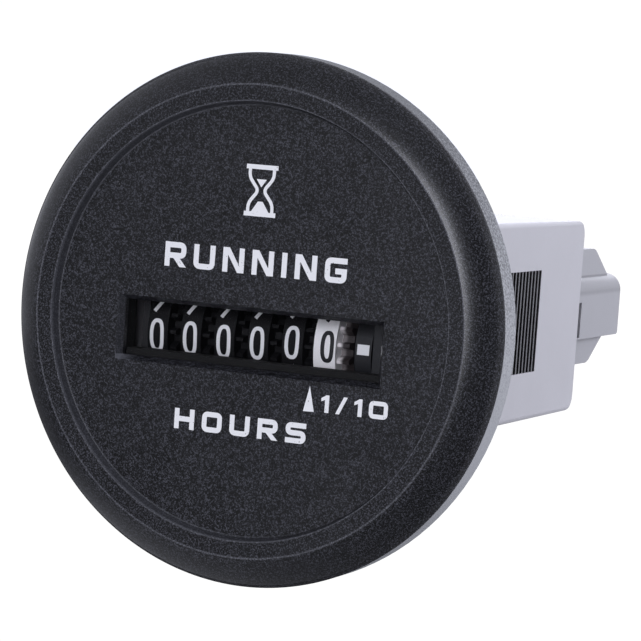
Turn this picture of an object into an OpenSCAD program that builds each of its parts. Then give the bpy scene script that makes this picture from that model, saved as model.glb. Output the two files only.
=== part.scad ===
// Round panel hour meter with a six-drum counter, a stepping motor and two blade terminals.
// Origin at the centre of the flange's back face, dial towards -Y, +Z up, +X to the viewer's right.

/* [Bezel and dial] */
// Outer diameter of the bezel and of the flange behind it
bezel_d = 58.4; // [56:0.2:62]
// Straight edge of the bezel above the flange
bezel_edge = 0.35; // [0.2:0.05:0.6]
// Radius of the raised crest of the bezel
crest_r = 25.7; // [25.2:0.1:26.4]
// Height of the crest above the flange
crest_h = 2.9; // [2.4:0.1:3.6]
// Radius of the inner edge of the flat land inside the crest
land_r = 23.9; // [23.6:0.1:24.6]
// Fall of the land from the crest to its inner edge
land_fall = 0.04; // [0.02:0.01:0.1]
// Radius of the flat dial, at the foot of the drop from the land
dial_r = 23.4; // [22.5:0.1:23.4]
// Thickness of the dial over the flange
dial_t = 1.75; // [1.6:0.05:2.2]
// Fullness of the rounded outer slope, 1 is straight and 2 is an ellipse
slope_power = 1.3; // [1.2:0.1:2]
// Width of the fillet where the drop from the land meets the dial
dial_fillet_w = 0.15; // [0.05:0.05:0.3]
// Height of that fillet
dial_fillet_h = 0.03; // [0.01:0.01:0.06]
// Radius of the rib that centres the bezel in the flange
spigot_r = 26.6; // [25.5:0.1:27.4]
// Width of the centring rib
spigot_w = 1; // [0.8:0.1:1.4]
// Length of the centring rib
spigot_l = 0.9; // [0.6:0.1:1.3]

/* [Window] */
// Clear width of the window
window_w = 31.1; // [30.4:0.1:31.2]
// Clear height of the window
window_h = 6.2; // [5.6:0.05:6.6]
// Height of the window's centre
window_z = -2.05; // [-2.4:0.05:-1.6]
// Width of the sloped edge round the window
window_slope = 0.5; // [0.3:0.05:0.8]
// Depth of the sloped edge
window_slope_d = 0.8; // [0.5:0.05:1]
// Wall of the collar behind the window
collar_t = 0.75; // [0.6:0.05:0.9]
// Distance from the dial to the collar's back end
collar_l = 3.5; // [3.2:0.05:3.7]
// Lip of the mask below the digits
mask_lip = 0.72; // [0.4:0.02:0.9]
// Thickness of the clear lens
lens_t = 0.8; // [0.6:0.1:1]

/* [Case] */
// Thickness of the round flange
flange_t = 3.05; // [2.6:0.05:3.6]
// Width of the case behind the panel
case_w = 36.6; // [36.2:0.1:38]
// Height of the case where it meets the flange
case_h = 23.9; // [23.7:0.1:25]
// Depth of the case behind the panel
case_l = 50.1; // [49.2:0.1:56]
// Loss of half height from the flange to the back
case_draft = 0.35; // [0:0.05:0.4]
// Radius of the upper and lower back edges
case_back_r = 1.9; // [0.8:0.1:2.4]
// Radius of the long edges of the case
case_edge_r = 0.8; // [0.4:0.1:1.2]
// Width of the room inside the case
room_w = 32.9; // [32.6:0.1:33.2]
// Height of the room inside the case
room_h = 20.1; // [20:0.1:20.4]
// Thickness of the back wall
back_t = 1.8; // [1.4:0.1:2]

/* [Ratchet strips] */
// Distance between the teeth that hold the mounting clamp
ratchet_pitch = 1.05; // [0.95:0.05:1.4]
// Width of the groove between two teeth
ratchet_gap = 0.72; // [0.5:0.02:0.8]
// Depth of the grooves
ratchet_depth = 0.9; // [0.5:0.05:1]
// Height of the strip of teeth
ratchet_h = 12; // [8:0.5:16]
// Where the strip starts behind the panel
ratchet_start = 3.2; // [1.5:0.1:6]
// Where the strip ends behind the panel
ratchet_end = 35.9; // [24:0.1:40]

/* [Terminal housing] */
// Width of the connector shroud
shroud_w = 34; // [32:0.2:36]
// Height of the connector shroud
shroud_h = 7.7; // [7.2:0.1:9]
// Length of the connector shroud behind the case
shroud_l = 19; // [16:0.2:24]
// Height of the shroud's centre
shroud_z = 0.5; // [-0.4:0.1:1]
// Wall of the shroud
shroud_wall = 1.3; // [1:0.05:1.5]
// Radius of the shroud's upper edges
shroud_r = 2.1; // [0.6:0.1:2.6]
// Thickness of the shroud's floor against the case
shroud_floor = 3; // [2:0.1:4]
// Width of the braces above and below the shroud
brace_w = 31.6; // [24:0.2:32]
// Height over both braces
brace_h = 14.5; // [12:0.1:16]
// Length of a brace at its outer edge
brace_top_l = 11.6; // [6:0.2:13]
// Length of a brace where it meets the shroud
brace_foot_l = 16.8; // [13:0.2:18]
// Length of the latch recess in the shroud's sides
latch_l = 4.6; // [3.4:0.1:9]
// Height of the latch recess
latch_h = 4.4; // [3:0.1:5]
// Depth of the latch recess
latch_d = 0.7; // [0.3:0.05:0.9]
// Height of the shroud left below the latch recess
latch_foot = 0.2; // [0.2:0.1:1.5]

/* [Terminals] */
// Width of a blade
blade_w = 6.3; // [4.8:0.1:6.4]
// Thickness of a blade
blade_t = 0.8; // [0.5:0.1:1]
// Distance between the two blades
blade_pitch = 15; // [13:0.5:16]
// Length of a blade beyond the case
blade_l = 16; // [12:0.5:17]
// Width of the leg that goes to the board
leg_w = 3; // [2:0.1:4]
// Diameter of the hole in a blade
blade_hole_d = 1.8; // [1.2:0.1:2.2]
// Distance of that hole from the blade's tip
blade_hole_in = 4.5; // [3:0.1:6]
// Step on each side of the blade's tip
blade_step = 1; // [0.5:0.1:1.5]

/* [Counter] */
// Radius of the digit drums
drum_r = 6.5; // [6.2:0.05:6.6]
// Width of a drum's digit band
drum_band = 2.5; // [2.3:0.05:2.6]
// Extra width of the tenths drum's band on its right side
tenths_extra = 0.34; // [0.1:0.02:0.4]
// Distance between neighbouring drums
drum_pitch = 4.16; // [4.1:0.02:4.2]
// Position of the tenths drum across the window
tenths_x = 7.76; // [7.6:0.02:7.9]
// Distance of the drum axis behind the panel face
drum_y = 5.7; // [5.5:0.05:6]
// Height of the drum axis
drum_z = -2.4; // [-2.6:0.05:-2.2]
// Diameter of the drum shaft
drum_shaft_d = 2; // [1.6:0.1:2.2]
// Diameter of the pinion shaft and of the wheel pins
pin_d = 1.4; // [1.2:0.1:1.5]
// Radial running clearance on shafts and pins
run_gap = 0.03; // [0.02:0.01:0.05]
// Radial clearance of a shaft in the frame
seat_gap = 0.02; // [0.01:0.01:0.05]
// Width of the gear on a drum's right side
drum_gear_w = 0.8; // [0.6:0.05:0.85]
// Width of the carry ring on a drum's left side
carry_w = 0.7; // [0.5:0.05:0.75]
// Height of the transfer pinions below the drum axis
transfer_drop = 3.4; // [3:0.1:3.8]
// Gap between wheels side by side
side_gap = 0.1; // [0.05:0.01:0.14]

/* [Gears] */
// Module of the drum gears and transfer pinions
drum_module = 0.55; // [0.54:0.005:0.56]
// Teeth of a drum gear
drum_teeth = 20; // [20]
// Teeth of a transfer pinion
pinion_teeth = 8; // [8]
// Teeth of the drive wheel
drive_teeth = 36; // [36]
// Teeth of the pinions that mesh with the drive wheel
drive_pinion_teeth = 12; // [12]
// Teeth of the intermediate wheel
middle_teeth = 40; // [40]
// Teeth of the rotor pinion
rotor_teeth = 10; // [10]
// Module of the intermediate wheel and the rotor pinion
motor_module = 0.3; // [0.28:0.01:0.31]
// Width of the tenths drum's gear
tenths_gear_w = 0.86; // [0.8:0.02:1]
// Width of the drive wheel
drive_w = 0.6; // [0.5:0.05:0.65]
// Width of the intermediate wheel
middle_w = 0.5; // [0.4:0.05:0.6]
// Direction of the drive wheel from the drum axis, in degrees above straight back
drive_angle = 40; // [38:1:42]
// Direction of the rotor from the intermediate wheel, in degrees
rotor_angle = -30; // [-34:1:-26]

/* [Run indicator] */
// Radius of the run indicator
indicator_r = 6.3; // [6:0.05:6.4]
// Width of the run indicator's band
indicator_w = 1.95; // [1.6:0.05:2.1]

/* [Frame] */
// Thickness of the frame's plates
plate_t = 0.8; // [0.6:0.05:0.9]
// Inner face of the right plate
right_plate_x = 14; // [13.8:0.05:14.2]
// Inner face of the left plate
left_plate_x = -14.75; // [-14.9:0.05:-14.65]
// Inner face of the motor's middle plate
middle_plate_x = 6.2; // [5.9:0.05:6.4]
// Front edge of the plates
frame_front = 0.4; // [0.2:0.1:0.8]
// Back end of the counter's floor
counter_back = 17.6; // [17:0.1:18.4]
// Free length between the motor's plates and the coil
coil_clear = 3; // [2:0.1:5]
// Height of the plates' upper edge
plate_top = 9; // [8.8:0.1:9.4]

/* [Motor] */
// Thickness of the stator
stator_t = 1.1; // [0.8:0.05:1.3]
// Left face of the stator
stator_x = 8.6; // [8.3:0.05:8.7]
// Radius of the rotor magnet
magnet_r = 2.3; // [2:0.05:2.4]
// Thickness of the rotor magnet
magnet_t = 1.6; // [1.4:0.05:1.8]
// Radius of the rotor hole in the stator
stator_hole_r = 2.75; // [2.65:0.05:3]
// Half width of the stator's pole piece round the rotor
stator_pole = 3.8; // [3.4:0.1:4]
// Width of the stator's arms
stator_arm = 2.6; // [2.2:0.1:3]
// Radius of the two holes that narrow the stator beside the rotor
neck_r = 0.9; // [0.6:0.1:1.1]
// Web left between such a hole and the rotor hole
neck_web = 0.35; // [0.25:0.05:0.5]
// Upper edge of the stator
stator_top = 8.6; // [8.2:0.1:9]
// Lower edge of the stator
stator_bottom = -8.6; // [-9:0.1:-8.2]
// Free length between the stator and the back wall
motor_clear = 6.3; // [5.6:0.1:8]
// Radius of the winding
coil_r = 3.7; // [3.2:0.1:3.8]
// Radius of the bobbin's cheeks
cheek_r = 4.1; // [3.9:0.1:4.2]
// Thickness of the bobbin's cheeks
cheek_t = 0.6; // [0.4:0.1:0.8]

/* [Circuit board] */
// Thickness of the board
board_t = 1.2; // [0.8:0.1:1.6]
// Height of the board's lower face
board_z = -6.6; // [-7:0.1:-6]
// Front edge of the board
board_front = 19.5; // [19:0.1:22]
// Right edge of the board beside the motor
board_right = 4.2; // [2:0.1:4.6]
// Gap between the board and the walls of the room
board_gap = 0.5; // [0.3:0.1:0.9]
// Depth of the strip of board that reaches the right terminal
board_strip = 2.6; // [2.2:0.1:4]
// Radius of the posts under the board
post_r = 1.4; // [1:0.1:1.8]
// Rim of board left round a post
post_rim = 0.6; // [0.2:0.1:1]
// Diameter of the crystal's can
crystal_d = 3; // [2:0.1:3.2]
// Length of the crystal's can
crystal_l = 8; // [6:0.1:9]
// Distance of the crystal's axis from the board's left edge
crystal_x = 4; // [2:0.1:5]
// Distance of the crystal's can from the board's front edge
crystal_y = 2.5; // [1.6:0.1:4]
// Length of a crystal lead
crystal_lead = 1.5; // [1:0.1:2]
// Length of the oscillator chip
chip_l = 5; // [4:0.1:6]
// Width of the oscillator chip
chip_w = 4; // [3:0.1:4.4]
// Height of the oscillator chip
chip_h = 1.6; // [1:0.1:2]
// Distance of the chip from the board's left edge
chip_x = 10; // [8:0.1:12]
// Distance of the chip from the board's front edge
chip_y = 4; // [2:0.1:8]
// Distance between the chip's pins
chip_pitch = 1.2; // [1:0.05:1.27]
// Reach of the chip's pins beyond its body
chip_foot = 0.9; // [0.6:0.1:1.2]
// Width of a chip pin
chip_pin_w = 0.4; // [0.3:0.05:0.5]
// Thickness of a chip pin
chip_pin_t = 0.3; // [0.2:0.05:0.4]
// Diameter of the capacitor
capacitor_d = 5; // [4:0.1:6]
// Height of the capacitor
capacitor_h = 6; // [4:0.1:9]
// Step at the capacitor's upper edge
capacitor_step = 0.3; // [0.2:0.05:0.5]
// Distance of the capacitor's axis from the board's left edge
capacitor_x = 5.5; // [3.6:0.1:6]
// Distance of the capacitor's axis from the board's back edge
capacitor_y = 9; // [7:0.1:12]
// Diameter of the diode and resistor bodies
axial_d = 2; // [1.6:0.1:2.4]
// Length of the diode and resistor bodies
axial_l = 5.2; // [4:0.1:6]
// Reach of a straight lead beyond each end of the body
axial_reach = 1.5; // [1:0.1:2]
// Gap between the board and the diode and resistor bodies
axial_lift = 0.3; // [0.2:0.05:0.6]
// Distance of the diode from the board's left edge
diode_x = 12; // [10:0.1:13]
// Distance between the diode and the resistor
axial_pitch = 4; // [3:0.1:4.4]
// Distance of the diode and the resistor from the board's back edge
axial_y = 8; // [7:0.1:12]
// Diameter of the component leads
lead_d = 0.6; // [0.5:0.05:0.7]

/* [Hidden] */
$fn = 96;

bezel_r = bezel_d / 2;
fit_gap = 0.05;
overshoot = 1;
dial_y = -flange_t - dial_t;
collar_y = dial_y + collar_l;
lens_y = dial_y + window_slope_d;

// Gear teeth: shares of the module or of the tooth pitch
addendum = 0.9;
dedendum = 1.25;
tooth_share = 0.40;
tip_share = 0.20;
root_share = 0.52;

// Pinion offsets and wheel axes in the Y-Z plane
mesh_c = drum_module * (drum_teeth + pinion_teeth) / 2;
drive_module = 2 * mesh_c / (drive_teeth + drive_pinion_teeth);
motor_c = motor_module * (middle_teeth + rotor_teeth) / 2;
drum_axis = [drum_y, drum_z];
transfer_angle = -asin(transfer_drop / mesh_c);
pinion_axis = drum_axis + mesh_c * direction(transfer_angle);
drive_axis = drum_axis + mesh_c * direction(drive_angle);
middle_axis = drive_axis + [mesh_c, 0];
rotor_axis = middle_axis + motor_c * direction(rotor_angle);

// Tooth phases: each is the direction of one tooth, so that meshing teeth meet gaps
drum_phase = transfer_angle + 180 / drum_teeth;
transfer_phase = transfer_angle + 180;
tenths_phase = drive_angle + 180 / drum_teeth;
drive_pinion_phase = drive_angle + 180;
drive_wheel_phase = drive_angle + 180 + 180 / drive_teeth;
indicator_phase = drive_angle;
middle_pinion_phase = mate_phase(drive_wheel_phase, drive_teeth, drive_pinion_teeth, 0);
middle_wheel_phase = rotor_angle + 180 / middle_teeth;
rotor_phase = rotor_angle + 180;

// Carry ring and its two teeth, inside the transfer pinion's tip circle
pinion_tip_r = tip_radius(drum_module, pinion_teeth);
carry_reach = 0.04;
carry_tip_r = mesh_c - pinion_tip_r + carry_reach;
carry_r = carry_tip_r - drum_module;
carry_angle = transfer_angle - 360 / drum_teeth;

// Places along X
drum_half = drum_band / 2;
gap_between = drum_pitch - drum_band;
transfer_w = gap_between - 2 * side_gap;
tenths_gear_x = tenths_x + drum_half + tenths_extra;
drive_x = tenths_gear_x + tenths_gear_w + side_gap;
indicator_x = drive_x + drive_w + side_gap;
middle_x = drive_x + drive_w + side_gap;
frame_floor_z = -room_h / 2;

// Board, terminals and connector
board_top = board_z + board_t;
room_back = case_l - back_t;
board_back = room_back - board_gap;
leg_y = room_back - 2 * blade_t - fit_gap;
shroud_floor_y = case_l + shroud_floor;
board_left = -room_w / 2 + board_gap;
stator_back = room_back - motor_clear;
coil_y = stator_back - stator_arm / 2;
motor_back = coil_y - cheek_r - coil_clear;
coil_x = stator_x + stator_t / 2;
coil_low = stator_bottom + stator_arm;
coil_high = stator_top - stator_arm;
bobbin_wall = 0.6;
stud_r = pin_d;
hub_r = 1.1;
stator_front = rotor_axis[0] - stator_pole;

function direction(a) = [cos(a), sin(a)];
function tip_radius(m, n) = m * (n / 2 + addendum);
function root_radius(m, n) = m * (n / 2 - dedendum);
function mate_phase(phase, n, mate_n, toward) =
  toward + 180 + (toward - phase - 180 / n) * n / mate_n;

// One tooth of a wheel's outline, or only the root where the tooth is left out
function tooth_points(m, n, k, present) =
  let (p = 360 / n, a = k * p,
       rr = root_radius(m, n), rp = m * n / 2, rt = tip_radius(m, n),
       hr = p * root_share / 2, hp = p * tooth_share / 2, ht = p * tip_share / 2,
       left = rr * direction(a - hr), right = rr * direction(a + hr))
  present
    ? [left, rp * direction(a - hp), rt * direction(a - ht),
       rt * direction(a + ht), rp * direction(a + hp), right]
    : [left, right];

// Extrude a Y-Z outline along X from x0 over a width
module along_x(x0, w) {
  translate([x0, 0, 0]) rotate([90, 0, 90]) linear_extrude(w) children();
}

// Extrude an X-Z outline along Y from y0 over a length
module along_y(y0, l) {
  translate([0, y0 + l, 0]) rotate([90, 0, 0]) linear_extrude(l) children();
}

module disc(axis, x0, w, r) {
  translate([x0, axis[0], axis[1]]) rotate([0, 90, 0]) cylinder(r = r, h = w);
}

module toothed(axis, x0, w, m, n, phase, step = 1) {
  along_x(x0, w) translate(axis) rotate(phase)
    polygon([for (k = [0 : n - 1]) each tooth_points(m, n, k, k % step == 0)]);
}

module box(x0, x1, y0, y1, z0, z1) {
  translate([x0, y0, z0]) cube([x1 - x0, y1 - y0, z1 - z0]);
}

module rounded_rect(w, h, r) {
  square([w - 2 * r, h], center = true);
  square([w, h - 2 * r], center = true);
  for (sx = [-1, 1], sz = [-1, 1]) translate([sx * (w / 2 - r), sz * (h / 2 - r)]) circle(r = r);
}

// Bezel: revolved rim and dial, window with sloped edges and a collar behind it
module bezel_profile() {
  a = bezel_r - crest_r;
  b = crest_h - bezel_edge;
  steps = 12;
  polygon(concat(
    [[0, 0], [bezel_r, 0]],
    [for (i = [0 : steps])
      let (t = 90 * i / steps)
      [crest_r + a * pow(cos(t), 2 / slope_power), bezel_edge + b * pow(sin(t), 2 / slope_power)]],
    [[land_r, crest_h - land_fall], [dial_r + dial_fillet_w, dial_t + dial_fillet_h],
     [dial_r, dial_t], [0, dial_t]]
  ));
}

// Half outline of the window's sloped edge, open past the dial and ending at the lens
function slope_points(half) =
  let (rise = window_slope / window_slope_d, far = half + rise * (window_slope_d + overshoot))
  [[dial_y - overshoot, -far], [lens_y, -half], [lens_y, half], [dial_y - overshoot, far]];

module window_cut() {
  intersection() {
    along_x(-window_w, 2 * window_w) translate([0, window_z]) polygon(slope_points(window_h / 2));
    translate([0, 0, window_z - window_h]) linear_extrude(2 * window_h)
      mirror([1, -1]) polygon(slope_points(window_w / 2));
  }
  along_y(lens_y, lens_t + fit_gap) translate([0, window_z]) square([window_w, window_h], center = true);
  along_y(lens_y, collar_l) translate([0, window_z + mask_lip / 2])
    square([window_w, window_h - mask_lip], center = true);
}

module bezel() {
  color([0.16, 0.17, 0.18]) difference() {
    union() {
      translate([0, -flange_t, 0]) rotate([90, 0, 0]) rotate_extrude() bezel_profile();
      translate([0, -flange_t + spigot_l, 0]) rotate([90, 0, 0]) rotate_extrude()
        translate([spigot_r - spigot_w, 0]) square([spigot_w, spigot_l + fit_gap]);
      along_y(-flange_t - fit_gap, collar_y + flange_t + fit_gap) translate([0, window_z])
        square([window_w + 2 * collar_t, window_h + 2 * collar_t], center = true);
    }
    window_cut();
  }
}

module window_lens() {
  color([0.85, 0.92, 0.95, 0.4]) along_y(lens_y + fit_gap, lens_t - fit_gap) translate([0, window_z])
    square([window_w - 2 * seat_gap, window_h - 2 * seat_gap], center = true);
}

// Side outline of the case with drafted faces and rounded back edges
module case_side() {
  slope = atan(case_draft / case_l);
  r = case_back_r;
  cy = case_l - r;
  cz = case_h / 2 - case_draft * cy / case_l - r / cos(slope);
  polygon([[-flange_t, -case_h / 2], [0, -case_h / 2], [cy + r * sin(slope), -cz - r * cos(slope)],
           [case_l, -cz], [case_l, cz], [cy + r * sin(slope), cz + r * cos(slope)],
           [0, case_h / 2], [-flange_t, case_h / 2]]);
  for (s = [-1, 1]) translate([cy, s * cz]) circle(r = r);
}

module ratchet_grooves() {
  count = floor((ratchet_end - ratchet_start - ratchet_gap) / ratchet_pitch);
  for (i = [0 : count], s = [-1, 1]) {
    y = ratchet_end - ratchet_gap - i * ratchet_pitch;
    translate([s * (case_w / 2 - ratchet_depth / 2 + overshoot / 2), y + ratchet_gap / 2, 0])
      cube([ratchet_depth + overshoot, ratchet_gap, ratchet_h], center = true);
  }
}

module blade_slots(y0, l) {
  for (s = [-1, 1]) along_y(y0, l) translate([s * blade_pitch / 2, shroud_z])
    square([blade_w + 2 * fit_gap, blade_t + 2 * fit_gap], center = true);
}

module board_posts() {
  inset = post_r + post_rim;
  for (x = [board_left + inset, board_right - inset], y = [board_front + inset, board_back - inset])
    translate([x, y, frame_floor_z - fit_gap]) cylinder(r = post_r, h = board_z - frame_floor_z + fit_gap);
}

module case() {
  color([0.71, 0.72, 0.75]) {
    difference() {
      union() {
        rotate([90, 0, 0]) cylinder(r = bezel_r, h = flange_t);
        intersection() {
          along_x(-case_w / 2, case_w) case_side();
          along_y(-flange_t, flange_t + case_l) rounded_rect(case_w, case_h, case_edge_r);
        }
      }
      box(-room_w / 2, room_w / 2, -flange_t - overshoot, room_back, -room_h / 2, room_h / 2);
      translate([0, -flange_t + spigot_l + fit_gap, 0]) rotate([90, 0, 0]) rotate_extrude()
        translate([spigot_r - spigot_w - fit_gap, 0])
          square([spigot_w + 2 * fit_gap, spigot_l + overshoot]);
      ratchet_grooves();
      blade_slots(room_back - overshoot, back_t + 2 * overshoot);
    }
    board_posts();
  }
}

// Connector shroud behind the case, braced above and below
module brace_side() {
  half = brace_h / 2;
  polygon([[case_l, -half], [case_l + brace_top_l, -half], [case_l + brace_foot_l, -shroud_h / 2],
           [case_l + brace_foot_l, shroud_h / 2], [case_l + brace_top_l, half], [case_l, half]]);
}

module shroud_outline() {
  translate([0, -shroud_r / 2]) square([shroud_w, shroud_h - shroud_r], center = true);
  square([shroud_w - 2 * shroud_r, shroud_h], center = true);
  for (s = [-1, 1])
    translate([s * (shroud_w / 2 - shroud_r), shroud_h / 2 - shroud_r]) circle(r = shroud_r);
}

module terminal_housing() {
  color([0.66, 0.66, 0.69]) difference() {
    translate([0, 0, shroud_z]) union() {
      along_y(case_l, shroud_l) shroud_outline();
      along_x(-brace_w / 2, brace_w) brace_side();
    }
    along_y(shroud_floor_y, shroud_l) translate([0, shroud_z])
      square([shroud_w - 2 * shroud_wall, shroud_h - 2 * shroud_wall], center = true);
    blade_slots(case_l - overshoot, shroud_floor + 2 * overshoot);
    for (s = [-1, 1])
      translate([s * shroud_w / 2, case_l + latch_l / 2, shroud_z + latch_foot - (shroud_h - latch_h) / 2])
        cube([2 * latch_d, latch_l, latch_h], center = true);
  }
}

// Blade terminal: flat blade through the back wall and a leg down to the board
module terminal(side) {
  x = side * blade_pitch / 2;
  blade_end = case_l + blade_l;
  color([0.82, 0.79, 0.68]) {
    difference() {
      union() {
        box(x - blade_w / 2, x + blade_w / 2, leg_y, blade_end - blade_step,
            shroud_z - blade_t / 2, shroud_z + blade_t / 2);
        box(x - blade_w / 2 + blade_step, x + blade_w / 2 - blade_step,
            blade_end - blade_step - fit_gap, blade_end, shroud_z - blade_t / 2, shroud_z + blade_t / 2);
      }
      translate([x, blade_end - blade_hole_in, shroud_z - blade_t])
        cylinder(d = blade_hole_d, h = 2 * blade_t);
    }
    box(x - leg_w / 2, x + leg_w / 2, leg_y, leg_y + blade_t, board_top, shroud_z);
  }
}

module positive_terminal() { terminal(1); }

module negative_terminal() { terminal(-1); }

// Counter frame: floor, left, right and middle plates that carry the shafts
module plate_holes(x0) {
  disc(drum_axis, x0, plate_t + 2 * overshoot, drum_shaft_d / 2 + seat_gap);
  for (axis = [pinion_axis, drive_axis, middle_axis, rotor_axis])
    disc(axis, x0, plate_t + 2 * overshoot, pin_d / 2 + seat_gap);
}

module counter_plate(x0, back) {
  difference() {
    box(x0, x0 + plate_t, frame_front, back, frame_floor_z, plate_top);
    plate_holes(x0 - overshoot);
  }
}

module counter_frame() {
  color([0.1, 0.1, 0.11]) {
    counter_plate(left_plate_x - plate_t, counter_back);
    counter_plate(right_plate_x, motor_back);
    difference() {
      box(middle_plate_x - plate_t, middle_plate_x, counter_back, motor_back, frame_floor_z, plate_top);
      plate_holes(middle_plate_x - plate_t - overshoot);
    }
    box(middle_plate_x - plate_t, right_plate_x, counter_back - plate_t, motor_back,
        frame_floor_z, frame_floor_z + plate_t);
    box(left_plate_x - plate_t, right_plate_x, frame_front, counter_back,
        frame_floor_z, frame_floor_z + plate_t);
    for (z = [stator_top - stator_arm / 2, stator_bottom + stator_arm / 2])
      disc([rotor_axis[0], z], middle_plate_x - fit_gap, stator_x - middle_plate_x + fit_gap, stud_r);
  }
}

// Fixed shafts and pins
module fixed_shaft(axis, x0, x1, d) {
  color([0.75, 0.76, 0.78]) disc(axis, x0, x1 - x0, d / 2);
}

module drum_shaft() {
  fixed_shaft(drum_axis, left_plate_x - plate_t, right_plate_x + plate_t, drum_shaft_d);
}

module pinion_shaft() {
  fixed_shaft(pinion_axis, left_plate_x - plate_t, right_plate_x + plate_t, pin_d);
}

module drive_pin() {
  fixed_shaft(drive_axis, left_plate_x - plate_t, right_plate_x + plate_t, pin_d);
}

module middle_pin() {
  fixed_shaft(middle_axis, middle_plate_x - plate_t, right_plate_x + plate_t, pin_d);
}

module rotor_pin() {
  fixed_shaft(rotor_axis, middle_plate_x - plate_t, right_plate_x + plate_t, pin_d);
}

// Digit drum: band, gear on the right, carry ring with two teeth on the left
module drum(i, carry, gear_w, phase, tone, extra = 0) {
  x = tenths_x - i * drum_pitch;
  gear_x = x + drum_half + extra;
  color(tone) difference() {
    union() {
      disc(drum_axis, x - drum_half, drum_band + extra, drum_r);
      toothed(drum_axis, gear_x - fit_gap, gear_w + fit_gap, drum_module, drum_teeth, phase);
      if (carry) {
        disc(drum_axis, x - drum_half - carry_w, carry_w + fit_gap, carry_r);
        along_x(x - drum_half - carry_w, carry_w + fit_gap) translate(drum_axis)
          for (s = [-0.5, 0.5]) rotate(carry_angle + s * 360 / drum_teeth)
            translate([carry_tip_r / 2, 0]) square([carry_tip_r, drum_module], center = true);
      }
    }
    disc(drum_axis, x - drum_pitch, 2 * drum_pitch, drum_shaft_d / 2 + run_gap);
  }
}

black_drum = [0.09, 0.09, 0.1];
white_drum = [0.88, 0.86, 0.82];

module tenths_drum() { drum(0, true, tenths_gear_w, tenths_phase, white_drum, tenths_extra); }

module units_drum() { drum(1, true, drum_gear_w, drum_phase, black_drum); }

module tens_drum() { drum(2, true, drum_gear_w, drum_phase, black_drum); }

module hundreds_drum() { drum(3, true, drum_gear_w, drum_phase, black_drum); }

module thousands_drum() { drum(4, true, drum_gear_w, drum_phase, black_drum); }

module ten_thousands_drum() { drum(5, false, drum_gear_w, drum_phase, black_drum); }

// Transfer pinion: eight teeth for the higher drum, every second one runs on to the carry ring
module transfer_pinion(i) {
  x0 = tenths_x - i * drum_pitch + drum_half + side_gap;
  full_w = drum_gear_w - side_gap;
  color([0.8, 0.78, 0.72]) difference() {
    union() {
      toothed(pinion_axis, x0, full_w, drum_module, pinion_teeth, transfer_phase);
      toothed(pinion_axis, x0 + full_w, transfer_w - full_w, drum_module, pinion_teeth,
              transfer_phase + 360 / pinion_teeth, 2);
    }
    disc(pinion_axis, x0 - overshoot, transfer_w + 2 * overshoot, pin_d / 2 + run_gap);
  }
}

module units_pinion() { transfer_pinion(1); }

module tens_pinion() { transfer_pinion(2); }

module hundreds_pinion() { transfer_pinion(3); }

module thousands_pinion() { transfer_pinion(4); }

module ten_thousands_pinion() { transfer_pinion(5); }

// Gear train from the rotor to the tenths drum and the run indicator
wheel_tone = [0.86, 0.84, 0.78];

module bored(axis, r) {
  difference() {
    children();
    disc(axis, left_plate_x, right_plate_x - left_plate_x, r + run_gap);
  }
}

module drive_wheel() {
  color(wheel_tone) bored(drive_axis, pin_d / 2) {
    toothed(drive_axis, tenths_gear_x + side_gap, tenths_gear_w + fit_gap, drum_module, pinion_teeth,
            drive_pinion_phase);
    toothed(drive_axis, drive_x, drive_w, drive_module, drive_teeth, drive_wheel_phase);
  }
}

module run_indicator() {
  color(black_drum) bored(drum_axis, drum_shaft_d / 2) {
    toothed(drum_axis, drive_x, drive_w + 2 * side_gap, drive_module, drive_pinion_teeth, indicator_phase);
    disc(drum_axis, indicator_x, indicator_w, indicator_r);
  }
}

module middle_wheel() {
  color(wheel_tone) bored(middle_axis, pin_d / 2) {
    toothed(middle_axis, drive_x, drive_w + 2 * side_gap, drive_module, drive_pinion_teeth,
            middle_pinion_phase);
    toothed(middle_axis, middle_x, middle_w, motor_module, middle_teeth, middle_wheel_phase);
  }
}

module rotor() {
  hub_x = coil_x - magnet_t / 2;
  color(wheel_tone) bored(rotor_axis, pin_d / 2) {
    toothed(rotor_axis, middle_x, middle_w, motor_module, rotor_teeth, rotor_phase);
    disc(rotor_axis, hub_x, middle_x - hub_x + fit_gap, hub_r);
  }
}

module rotor_magnet() {
  color([0.3, 0.29, 0.3]) difference() {
    disc(rotor_axis, coil_x - magnet_t / 2, magnet_t, magnet_r);
    disc(rotor_axis, coil_x - magnet_t, 2 * magnet_t, hub_r + seat_gap);
  }
}

// Stepping motor: one-piece stator with a rotor hole, two necks and a core for the coil
module stator() {
  neck_offset = stator_hole_r + neck_r + neck_web;
  color([0.6, 0.61, 0.63]) along_x(stator_x, stator_t) difference() {
    translate([stator_front, stator_bottom])
      square([stator_back - stator_front, stator_top - stator_bottom]);
    translate([stator_front + 2 * stator_pole, coil_low])
      square([stator_back - stator_arm - stator_front - 2 * stator_pole, coil_high - coil_low]);
    translate(rotor_axis) circle(r = stator_hole_r);
    for (s = [-1, 1]) translate(rotor_axis + [0, s * neck_offset]) circle(r = neck_r);
  }
}

// Square tube round the coil's core, and the bobbin and winding on it
module core_column(wall, z0, z1) {
  half_x = stator_t / 2 + fit_gap + wall;
  half_y = stator_arm / 2 + fit_gap + wall;
  box(coil_x - half_x, coil_x + half_x, coil_y - half_y, coil_y + half_y, z0, z1);
}

module upright(r, z0, z1) {
  translate([coil_x, coil_y, z0]) cylinder(r = r, h = z1 - z0);
}

module coil_bobbin() {
  low = coil_low + fit_gap;
  high = coil_high - fit_gap;
  color([0.85, 0.84, 0.8]) difference() {
    union() {
      upright(cheek_r, low, low + cheek_t);
      upright(cheek_r, high - cheek_t, high);
      core_column(bobbin_wall, low, high);
    }
    core_column(0, low - overshoot, high + overshoot);
  }
}

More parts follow.
